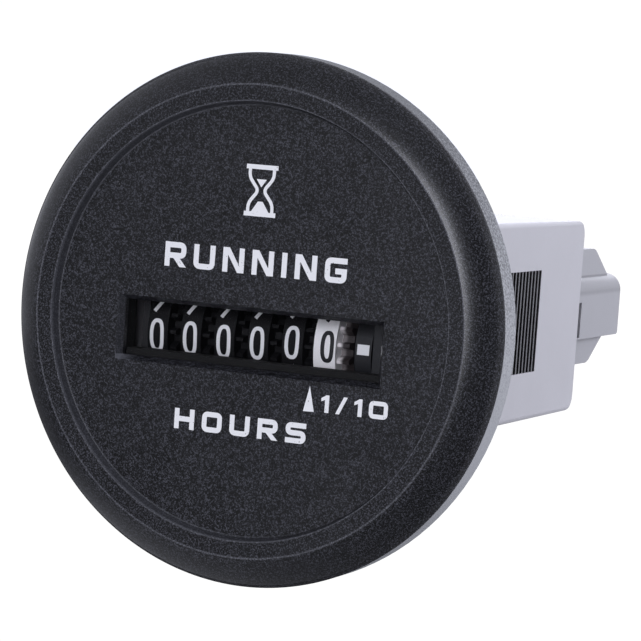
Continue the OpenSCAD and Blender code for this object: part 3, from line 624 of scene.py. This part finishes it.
class InkSheet:
    def __init__(self, thickness, sink):
        self.thickness = thickness
        self.sink = sink
        self.points = []
        self.faces = []
        self.shapes = 0

    def lay(self, flat):  # adds the points of one shape at both levels and returns the first one's place
        first = len(self.points)
        self.shapes += 1
        top = self.thickness - 0.0002 * (self.shapes % 12)  # shapes that cross don't lie face to face
        self.points += [(x, y, level) for level in (-self.sink, top) for x, y in flat]
        return first

    def addSides(self, first, count):
        for i in range(count):
            after = (i + 1) % count
            self.faces.append([first + i, first + after, first + count + after, first + count + i])

    def addOutline(self, outline):  # a filled shape
        count = len(outline)
        first = self.lay(outline)
        self.faces.append([first + i for i in range(count)])
        self.faces.append([first + count + i for i in range(count)])
        self.addSides(first, count)

    def addOpenStroke(self, left, right):
        edge = left + right[::-1]
        count = len(edge)
        first = self.lay(edge)
        for base in (first, first + count):
            for i in range(len(left) - 1):
                self.faces.append([base + i, base + i + 1, base + count - 2 - i, base + count - 1 - i])
        self.addSides(first, count)

    def addClosedStroke(self, left, right):
        count = len(left)
        first = self.lay(left + right)
        for i in range(count):
            after = (i + 1) % count
            low = [first + i, first + after, first + count + after, first + count + i]
            high = [k + 2 * count for k in low]
            self.faces += [low, high, [low[0], low[1], high[1], high[0]], [low[3], low[2], high[2], high[3]]]

    def addStroke(self, path, width, radius, longest=None):  # a path is points with an optional sharp mark
        closed = path[0][:2] == path[-1][:2]
        corners = [(Vector(p[:2]), 0.0 if len(p) > 2 else radius) for p in (path[:-1] if closed else path)]
        if not closed:  # square ends, half a stroke past the first and last points
            corners[0] = (stretchedEnd(corners[0][0], corners[1][0], width / 2), 0.0)
            corners[-1] = (stretchedEnd(corners[-1][0], corners[-2][0], width / 2), 0.0)
        line = roundedLine(corners, closed)
        if longest:
            line = splitLine(line, longest, closed)
        left, right = strokeEdges(line, width, closed)
        if closed:
            self.addClosedStroke(left, right)
        else:
            self.addOpenStroke(left, right)


def stretchedEnd(end, inner, reach):
    return end + (end - inner).normalized() * reach


def roundedLine(corners, closed, steps=6):
    line = []
    count = len(corners)
    for i, (corner, radius) in enumerate(corners):
        if radius == 0.0 or (not closed and i in (0, count - 1)):
            line.append(corner)
            continue
        before, after = corners[i - 1][0] - corner, corners[(i + 1) % count][0] - corner
        cut = min(radius, before.length * 0.5, after.length * 0.5)
        start, end = corner + before.normalized() * cut, corner + after.normalized() * cut
        for k in range(steps + 1):
            t = k / steps
            line.append(start * (1 - t) ** 2 + corner * 2 * t * (1 - t) + end * t ** 2)
    unique = [p for i, p in enumerate(line) if i == 0 or (p - line[i - 1]).length > 1e-5]
    if closed and (unique[0] - unique[-1]).length < 1e-5:
        unique.pop()
    return unique


def splitLine(line, longest, closed):  # extra points on long stretches, so that they follow a drum
    split = []
    last = len(line) if closed else len(line) - 1
    for i in range(last):
        a, b = line[i], line[(i + 1) % len(line)]
        parts = max(1, math.ceil((b - a).length / longest))
        split += [a.lerp(b, k / parts) for k in range(parts)]
    return split if closed else split + [line[-1]]


def strokeEdges(line, width, closed):
    left, right = [], []
    count = len(line)
    for i, point in enumerate(line):
        ways = []
        if closed or i > 0:
            ways.append((point - line[i - 1]).normalized())
        if closed or i < count - 1:
            ways.append((line[(i + 1) % count] - point).normalized())
        way = sum(ways, Vector((0, 0))).normalized()
        side = Vector((-way.y, way.x)) * (width / 2 / max(0.5, way.dot(ways[0])))
        left.append(tuple(point + side))
        right.append(tuple(point - side))
    return left, right


# centre lines in a unit box; a third value marks a sharp corner
letterLines = {
    "R": [[(0, 0), (0, 1)], [(0, 1), (1, 1), (1, 0.44), (0, 0.44)]],
    "U": [[(0, 1), (0, 0), (1, 0), (1, 1)]],
    "I": [[(0.5, 0), (0.5, 1)]],
    "G": [[(1, 1), (0, 1), (0, 0), (1, 0), (1, 0.46, 0), (0.62, 0.46)]],
    "H": [[(0, 0), (0, 1)], [(1, 0), (1, 1)], [(0.2, 0.5), (0.8, 0.5)]],
    "O": [[(0, 0), (0, 1), (1, 1), (1, 0), (0, 0)]],
    "S": [[(1, 1), (0, 1), (0, 0.5), (1, 0.5), (1, 0), (0, 0)]],
    "0": [[(0, 0), (0, 1), (1, 1), (1, 0), (0, 0)]],
}
letterShares = {"I": 0.25, "1": 0.42, "/": 0.62}  # widths against a full letter
cornerShare = 0.75  # corner radius of a stroke against its width


def slantedShapes(character, width, cap, stroke):  # outlines of what has slanted strokes
    if character == "N":
        foot, fall = stroke * 1.25, cap * 0.30
        return [[(0, 0), (0, cap), (foot, cap), (width - stroke, fall), (width - stroke, cap), (width, cap),
                 (width, 0), (width - foot, 0), (stroke, cap - fall), (stroke, 0)]]
    if character == "R":
        return [[(width * 0.34, cap * 0.42), (width * 0.34 + stroke * 1.25, cap * 0.42), (width + stroke * 0.1, 0),
                 (width - stroke * 1.2, 0)]]
    if character == "1":
        return [[(width - stroke, 0), (width, 0), (width, cap), (width - stroke * 0.7, cap),
                 (0, cap - stroke * 0.75), (0, cap - stroke * 1.5), (width - stroke, cap - stroke * 1.1)]]
    if character == "/":
        return [[(0, 0), (stroke * 0.95, 0), (width, cap), (width - stroke * 0.95, cap)]]
    return []


dialWords = [
    {"text": "RUNNING", "left": -10.65, "right": 11.3, "base": 5.15, "cap": 2.7, "stroke": 0.62, "gap": 0.95},
    {"text": "HOURS", "left": -8.14, "right": 7.82, "base": -12.55, "cap": 2.25, "stroke": 0.57, "gap": 0.95},
    {"text": "1/10", "left": 9.37, "right": 17.2, "base": -8.85, "cap": 1.9, "stroke": 0.48, "gap": 0.8},
]
dialMark = {"apex": (7.92, -6.18), "left": (7.29, -8.96), "right": (8.57, -8.91)}
hourglass = {"centre": (0.49, 14.27), "halfWidth": 1.9, "halfHeight": 2.8, "waist": 0.3, "stroke": 0.5}
inkFilm = {"thickness": 0.03, "sink": 0.02}


def writeWord(sheet, word):
    stroke, cap = word["stroke"], word["cap"]
    shares = [letterShares.get(c, 1.0) for c in word["text"]]
    full = (word["right"] - word["left"] - word["gap"] * (len(shares) - 1)) / sum(shares)
    x = word["left"]
    for character, share in zip(word["text"], shares):
        width = full * share
        for line in letterLines.get(character, []):
            path = [(x + stroke / 2 + p[0] * (width - stroke), word["base"] + stroke / 2 + p[1] * (cap - stroke),
                     *p[2:]) for p in line]
            sheet.addStroke(path, stroke, stroke * cornerShare)
        for outline in slantedShapes(character, width, cap, stroke):
            sheet.addOutline([(x + px, word["base"] + py) for px, py in outline])
        x += width + word["gap"]


def drawHourglass(sheet):  # two caps, a waisted glass and its sand
    cx, cz = hourglass["centre"]
    wide, tall, waist, stroke = (hourglass[k] for k in ("halfWidth", "halfHeight", "waist", "stroke"))
    inner = wide - stroke * 0.9
    for side in (-1, 1):
        bar = cz + side * (tall - stroke / 2)
        sheet.addStroke([(cx - wide + stroke / 2, bar), (cx + wide - stroke / 2, bar)], stroke, 0.0)
        glass = [(cx + side * inner, cz + tall - stroke), (cx + side * inner, cz + tall * 0.5),
                 (cx + side * waist, cz), (cx + side * inner, cz - tall * 0.5),
                 (cx + side * inner, cz - tall + stroke)]
        sheet.addStroke(glass, stroke * 0.75, 0.55)
    foot = cz - tall + stroke
    sheet.addOutline([(cx - inner * 0.72, foot), (cx + inner * 0.72, foot), (cx + inner * 0.2, foot + tall * 0.4),
                      (cx - inner * 0.2, foot + tall * 0.4)])
    sheet.addOutline([(cx - inner * 0.42, cz + tall * 0.44), (cx + inner * 0.42, cz + tall * 0.44),
                      (cx, cz + tall * 0.13)])


def dialPrint():
    sheet = InkSheet(inkFilm["thickness"], inkFilm["sink"])
    for word in dialWords:
        writeWord(sheet, word)
    sheet.addOutline([dialMark["left"], dialMark["right"], dialMark["apex"]])
    drawHourglass(sheet)
    points = [Vector((x, dialFace - level, z)) * mm for x, z, level in sheet.points]
    return meshFrom(points, sheet.faces, "dialPrint")


addPiece("dialPrint", dialPrint(), "white_drum", "meter_body", whiteInk)
print("dial printed")


# geometry trees

class Tree(NodeBench):  # a geometry tree whose sizes are named inputs
    def __init__(self, name, inputs):
        super().__init__(bpy.data.node_groups.new(name, "GeometryNodeTree"))
        face = self.tree.interface
        face.new_socket("Geometry", in_out="INPUT", socket_type="NodeSocketGeometry")
        face.new_socket("Geometry", in_out="OUTPUT", socket_type="NodeSocketGeometry")
        self.keys = {}
        for label, kind in inputs.items():
            self.keys[label] = face.new_socket(label, in_out="INPUT", socket_type="NodeSocket" + kind).identifier
        self.start = self.tree.nodes.new("NodeGroupInput")

    def value(self, label):
        return Wire(self, pickSocket(self.start.outputs, label))

    def finish(self, geometry):
        real = self.node("GeometryNodeRealizeInstances", None, {"Geometry": geometry})
        painted = self.node("GeometryNodeSetMaterial", None, {"Geometry": real, "Material": self.value("Finish")})
        end = self.tree.nodes.new("NodeGroupOutput")
        self.feed(end.inputs["Geometry"], painted)
        return self

    def make(self, mesh, values):
        piece = bpy.data.objects.new("making", mesh)
        bpy.context.scene.collection.objects.link(piece)
        modifier = piece.modifiers.new("shape", "NODES")
        modifier.node_group = self.tree
        for label, value in values.items():
            modifier[self.keys[label]] = value
        made = plainMesh(piece)
        bpy.data.objects.remove(piece)
        return made


def wrapTree():  # rolls a flat strip (across, radius, angle) round an axis along X
    tree = Tree("wrapRoundDrum", {"Axis": "Vector", "Finish": "Material"})
    split = tree.node("ShaderNodeSeparateXYZ", None, {"Vector": tree.node("GeometryNodeInputPosition")})
    radius, angle = split.other("Y"), split.other("Z")
    back = -1 * (radius * tree.node("ShaderNodeMath", {"operation": "COSINE"}, {0: angle}))
    up = radius * tree.node("ShaderNodeMath", {"operation": "SINE"}, {0: angle})
    rolled = tree.node("ShaderNodeCombineXYZ", None, {"X": split, "Y": back, "Z": up})
    place = tree.node("ShaderNodeVectorMath", {"operation": "ADD"}, {0: rolled, 1: tree.value("Axis")})
    moved = tree.node("GeometryNodeSetPosition", None,
                      {"Geometry": tree.value("Geometry"), "Position": place})
    return tree.finish(moved)


wrapRoundDrum = wrapTree()


# numerals on the drums: a strip of ten, rolled round each drum

def oval(middle, tall, steps=32, fullness=2.4):  # a full-width closed curve in the unit box
    turns = [2 * math.pi * i / steps for i in range(steps)]
    points = [(0.5 + 0.5 * math.copysign(abs(math.cos(t)) ** (2 / fullness), math.cos(t)),
               middle + tall / 2 * math.copysign(abs(math.sin(t)) ** (2 / fullness), math.sin(t)), 0)
              for t in turns]
    return points + points[:1]


figureLines = {
    0: [oval(0.5, 1.0, fullness=2.7)],
    1: [[(0.12, 0.74), (0.55, 0.9, 0), (0.55, 0)]],
    2: [[(0, 0.8), (0, 1), (1, 1), (1, 0.55), (0, 0, 0), (1, 0)]],
    3: [[(0, 0.84), (0, 1), (1, 1), (1, 0.53), (0.4, 0.53)], [(0.7, 0.53), (1, 0.53), (1, 0), (0, 0), (0, 0.16)]],
    4: [[(0.7, 0), (0.7, 1, 0), (0, 0.3, 0), (0.95, 0.3)]],
    5: [[(0.9, 1), (0.06, 1, 0), (0.03, 0.58, 0), (1, 0.62), (1, 0), (0, 0), (0, 0.15)]],
    6: [oval(0.24, 0.48), [(0.08, 0.32), (0.86, 0.85)]],
    7: [[(0, 1), (1, 1, 0), (0.38, 0)]],
    8: [oval(0.27, 0.54), oval(0.77, 0.46)],
    9: [oval(0.76, 0.48), [(0.92, 0.68), (0.14, 0.15)]],
}
drumPrint = {"radius": 6.5, "height": 3.7, "width": 1.75, "stroke": 0.43, "corner": 0.85,
             "thickness": 0.012, "sink": 0.006, "figures": 10, "axis": (0.0, 5.7, -2.4)}
drums = [  # where each row of figures stands, and how far it sits off the middle, in degrees
    {"body": "ten_thousands_drum", "x": -13.13, "turned": -5.5, "height": 3.82},
    {"body": "thousands_drum", "x": -8.97, "turned": -4.9, "height": 3.84},
    {"body": "hundreds_drum", "x": -4.80, "turned": -4.5, "height": 3.8},
    {"body": "tens_drum", "x": -0.68, "turned": -2.2},
    {"body": "units_drum", "x": 3.53, "turned": 2.4},
    {"body": "tenths_drum", "x": 7.79, "turned": 2.0, "height": 3.55, "width": 1.6, "stroke": 0.47},
]


def numeralStrip(form):
    sheet = InkSheet(form["thickness"], form["sink"])
    half = form["stroke"] / 2
    left = form["x"] - form["width"] / 2 + half
    for figure in range(form["figures"]):
        offset = math.radians(form["turned"] - 360 / form["figures"] * figure) * form["radius"]
        foot = offset - form["height"] / 2 + half
        for line in figureLines[figure]:
            path = [(left + p[0] * (form["width"] - 2 * half), foot + p[1] * (form["height"] - 2 * half), *p[2:])
                    for p in line]
            sheet.addStroke(path, form["stroke"], form["corner"], 0.3)
    points = [(u * mm, (form["radius"] + level) * mm, v / form["radius"]) for u, v, level in sheet.points]
    return meshFrom(points, sheet.faces, "numeralStrip")


for drum in drums:
    ink = blackInk if drum["body"] == "tenths_drum" else whiteInk
    slotName = "black_drum" if drum["body"] == "tenths_drum" else "white_drum"
    axis = Vector(drumPrint["axis"]) * mm
    rolled = wrapRoundDrum.make(numeralStrip({**drumPrint, **drum}), {"Axis": axis, "Finish": ink})
    addPiece(drum["body"] + "_numerals", rolled, slotName, drum["body"], ink)
print("numerals rolled on", len(drums), "drums")


# tenths drum: band further left and its gear wider than the solid's

def movedAlong(x, places):  # pairs of old and new places, straight between them
    for (start, newStart), (end, newEnd) in zip(places, places[1:]):
        if x <= end + 1e-7:
            return newStart + (x - start) / (end - start) * (newEnd - newStart)
    return x


def respaced(node, places):  # a copy of a node's mesh with its places along the shaft changed
    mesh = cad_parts[node].data.copy()
    for point in mesh.vertices:
        point.co.x = movedAlong(point.co.x, places)
    return mesh


tenthsLow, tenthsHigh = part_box("tenths_drum")
tenthsPlaces = [(tenthsLow.x, tenthsLow.x - 0.06 * mm), (6.51 * mm, 6.17 * mm),
                (9.35 * mm, tenthsDrum["bandEnd"]), (tenthsHigh.x, tenthsHigh.x)]
tenthsShell = addPiece("tenthsShell", respaced("tenths_drum", tenthsPlaces), "white_drum", "tenths_drum")
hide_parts("tenths_drum")

pinionLow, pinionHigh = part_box("units_pinion")
pinionPlaces = [(pinionLow.x, pinionLow.x), (5.65 * mm, 5.65 * mm), (pinionHigh.x, 6.10 * mm)]  # clear of the band
pinionShell = addPiece("unitsPinionShell", respaced("units_pinion", pinionPlaces), "wheel_moulding", "units_pinion")
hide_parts("units_pinion")


# cheek: dark panel that closes the window's right end beside the indicator

windowCheek = {"low": (13.06, -0.5, -6.2), "high": (15.5, 0.42, 2.4), "edge": 0.08}
corners = [Vector((x, y, z)) * mm for x in (windowCheek["low"][0], windowCheek["high"][0])
           for y in (windowCheek["low"][1], windowCheek["high"][1])
           for z in (windowCheek["low"][2], windowCheek["high"][2])]
cheekFaces = [(0, 1, 3, 2), (4, 6, 7, 5), (0, 4, 5, 1), (2, 3, 7, 6), (0, 2, 6, 4), (1, 5, 7, 3)]
cheekBlack = plasticOf("cheekBlack", (0.0125, 0.0130, 0.0155), 0.5)
cheekMesh = easeEdges(meshFrom(corners, cheekFaces, "windowCheek"), windowCheek["edge"] * mm, 2, 30)
addPiece("windowCheek", cheekMesh, "frame_moulding", "meter_body", cheekBlack)
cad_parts["run_indicator"].material_slots[0].material = cheekBlack


# run indicator: white flashes round its edge

runFlash = {"x": 12.0, "width": 1.43, "height": 1.13, "radius": 6.3, "turned": 2.8, "count": 4}


def flashStrip():
    sheet = InkSheet(drumPrint["thickness"], drumPrint["sink"])
    for i in range(runFlash["count"]):
        middle = math.radians(runFlash["turned"] + 360 / runFlash["count"] * i) * runFlash["radius"]
        reach = runFlash["height"] / 2
        left, right = runFlash["x"] - runFlash["width"] / 2, runFlash["x"] + runFlash["width"] / 2
        rows = [middle + reach * (k / 2 - 1) for k in range(5)]
        sheet.addOpenStroke([(left, v) for v in rows], [(right, v) for v in rows])
    points = [(u * mm, (runFlash["radius"] + level) * mm, v / runFlash["radius"]) for u, v, level in sheet.points]
    return meshFrom(points, sheet.faces, "flashStrip")


flashes = wrapRoundDrum.make(flashStrip(), {"Axis": Vector(drumPrint["axis"]) * mm, "Finish": whiteInk})
addPiece("runFlashes", flashes, "white_drum", "run_indicator", whiteInk)


# coil: turns of wire over the winding

coilWire = {"thickness": 0.16, "pitch": 0.2}


def woundTree():
    tree = Tree("woundWire", {"Turns": "Float", "Radius": "Float", "Height": "Float", "Wire": "Float",
                              "Foot": "Vector", "Finish": "Material"})
    line = tree.node("GeometryNodeCurveSpiral", None,
                     {"Resolution": 28, "Rotations": tree.value("Turns"), "Start Radius": tree.value("Radius"),
                      "End Radius": tree.value("Radius"), "Height": tree.value("Height")})
    ring = tree.node("GeometryNodeCurvePrimitiveCircle", None, {"Resolution": 6, "Radius": tree.value("Wire")})
    wire = tree.node("GeometryNodeCurveToMesh", None, {"Curve": line, "Profile Curve": ring, "Fill Caps": True})
    placed = tree.node("GeometryNodeTransform", None, {"Geometry": wire, "Translation": tree.value("Foot")})
    return tree.finish(placed)


def coilTurns():
    low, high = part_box("coil_winding")
    wire = coilWire["thickness"] / 2 * mm
    tall = high.z - low.z - 2 * wire
    radius = (high.x - low.x) / 2
    sizes = {"Turns": tall / (coilWire["pitch"] * mm), "Radius": radius, "Height": tall, "Wire": wire,
             "Foot": Vector(((low.x + high.x) / 2, (low.y + high.y) / 2, low.z + wire)),
             "Finish": finishes["enamelled_wire"]}
    mesh = woundTree().make(bpy.data.meshes.new("empty"), sizes)
    smoothMesh(mesh, 60)
    return mesh


addPiece("coilTurns", coilTurns(), "enamelled_wire", "meter_body")
print("coil wound")


# camera, at the photograph's viewing angle

photoView = {"focal": 2963.2, "frame": 641, "azimuth": 24.43, "elevation": 4.779, "roll": 4.05,
             "distance": 325.773, "across": 5.846, "up": 0.318, "sensor": 36.0}


def addCamera():
    azimuth, elevation, roll = (math.radians(photoView[k]) for k in ("azimuth", "elevation", "roll"))
    back = Vector((math.sin(azimuth) * math.cos(elevation), -math.cos(azimuth) * math.cos(elevation),
                   math.sin(elevation)))
    right = Vector((math.cos(azimuth), math.sin(azimuth), 0))
    up = back.cross(right)
    place = (back * photoView["distance"] + right * photoView["across"] + up * photoView["up"]) * mm
    tiltedRight = right * math.cos(roll) + up * math.sin(roll)
    tiltedUp = up * math.cos(roll) - right * math.sin(roll)
    turn = Matrix((tiltedRight, tiltedUp, back)).transposed().to_4x4()
    lens = bpy.data.cameras.new("photoCamera")
    lens.sensor_width = photoView["sensor"]
    lens.lens = photoView["focal"] / photoView["frame"] * photoView["sensor"]
    lens.clip_start, lens.clip_end = 0.01, 20
    camera = bpy.data.objects.new("photoCamera", lens)
    bpy.context.scene.collection.objects.link(camera)
    camera.matrix_world = Matrix.Translation(place) @ turn
    bpy.context.scene.camera = camera


addCamera()


# pale floor, white surroundings and soft boxes

studio = {"floorDrop": 60 * mm, "floorSize": 6.0, "floorTone": 0.36, "seenWhite": 1.06, "front": 0.37,
          "backdrop": 1.0, "darkSide": (0.80, -0.60, 0.05), "darkShare": 0.92, "paleSide": (-0.97, 0.05, 0.02),
          "paleShare": 0.50, "tint": (0.955, 0.973, 1.075)}
softBoxes = [
    {"name": "frontKey", "place": (0.125, -0.726, 0.150), "aim": (0, 0, 0), "size": (0.34, 0.42), "power": 3.5},
    {"name": "sideBack", "place": (0.60, 0.22, 0.16), "aim": (0, 0.03, 0), "size": (0.4, 0.4), "power": 3.9},
    {"name": "topBack", "place": (-0.10, 0.50, 0.50), "aim": (0, 0.02, 0), "size": (0.5, 0.5), "power": 5.4},
]


def seenByCamera(bench):
    return bench.node("ShaderNodeLightPath").other("Is Camera Ray")


def addFloor():
    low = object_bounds()[0].z - studio["floorDrop"]
    half = studio["floorSize"] / 2
    corners = [(-half, -half, low), (half, -half, low), (half, half, low), (-half, half, low)]
    floor = bpy.data.objects.new("paleFloor", meshFrom(corners, [[0, 1, 2, 3]], "paleFloor"))
    bpy.context.scene.collection.objects.link(floor)
    finish = Finish("paleFloorPaint")
    x = finish.axes()[0] + finish.noise(0.4, 2.0) * 0.02
    near = x.rise(-0.16, -0.07) - x.rise(-0.06, 0.10)
    farLeft = 1 - x.rise(-0.70, -0.35)
    tone = studio["floorTone"] * (0.30 + near * 0.70 + farLeft * 1.6)
    paint = finish.mix(tone, (0.0, 0.0, 0.0), (1.0, 1.0, 1.0))
    finish.set({"Base Color": paint, "Roughness": 0.9, "Specular IOR Level": 0.1})
    glow = finish.node("ShaderNodeEmission", None, {"Color": (1.0, 1.0, 1.0), "Strength": studio["seenWhite"]})
    painted = Wire(finish, finish.shader.outputs[0])
    shown = finish.node("ShaderNodeMixShader", None, {0: seenByCamera(finish), 1: painted, 2: glow})
    finish.feed(finish.tree.nodes["Material Output"].inputs["Surface"], shown)
    floor.data.materials.append(finish.material)


def addSurround():  # a white backdrop behind the meter, softer in front, pale on the left and dark on the right
    world = bpy.data.worlds.new("whiteRoom")
    world.use_nodes = True
    bpy.context.scene.world = world
    bench = NodeBench(world.node_tree)
    way = bench.node("ShaderNodeTexCoord").other("Generated")

    def facing(side):
        toward = Vector(studio[side]).normalized()
        return bench.node("ShaderNodeVectorMath", {"operation": "DOT_PRODUCT"}, {0: way, 1: toward})

    backward = bench.node("ShaderNodeSeparateXYZ", None, {"Vector": way}).other("Y")
    room = studio["front"] + backward.rise(0.1, 0.8) * (studio["backdrop"] - studio["front"])
    shaded = room * (1 - facing("darkSide").rise(0.72, 0.95) * studio["darkShare"])
    lifted = shaded * (1 + facing("paleSide").rise(0.40, 0.95) * studio["paleShare"])
    seen = seenByCamera(bench)
    background = world.node_tree.nodes["Background"]
    bench.feed(background.inputs["Color"], studio["tint"])
    bench.feed(background.inputs["Strength"], seen * studio["seenWhite"] + (1 - seen) * lifted)


def addSoftBox(box):
    lamp = bpy.data.lights.new(box["name"], "AREA")
    lamp.shape = "RECTANGLE"
    lamp.size, lamp.size_y = box["size"]
    lamp.energy = box["power"]
    lamp.color = studio["tint"]
    holder = bpy.data.objects.new(box["name"], lamp)
    bpy.context.scene.collection.objects.link(holder)
    place = Vector(box["place"])
    holder.location = place
    holder.rotation_euler = (Vector(box["aim"]) - place).to_track_quat("-Z", "Y").to_euler()


addFloor()
addSurround()
for box in softBoxes:
    addSoftBox(box)
bpy.context.scene.view_settings.view_transform = "Standard"
print("studio ready")
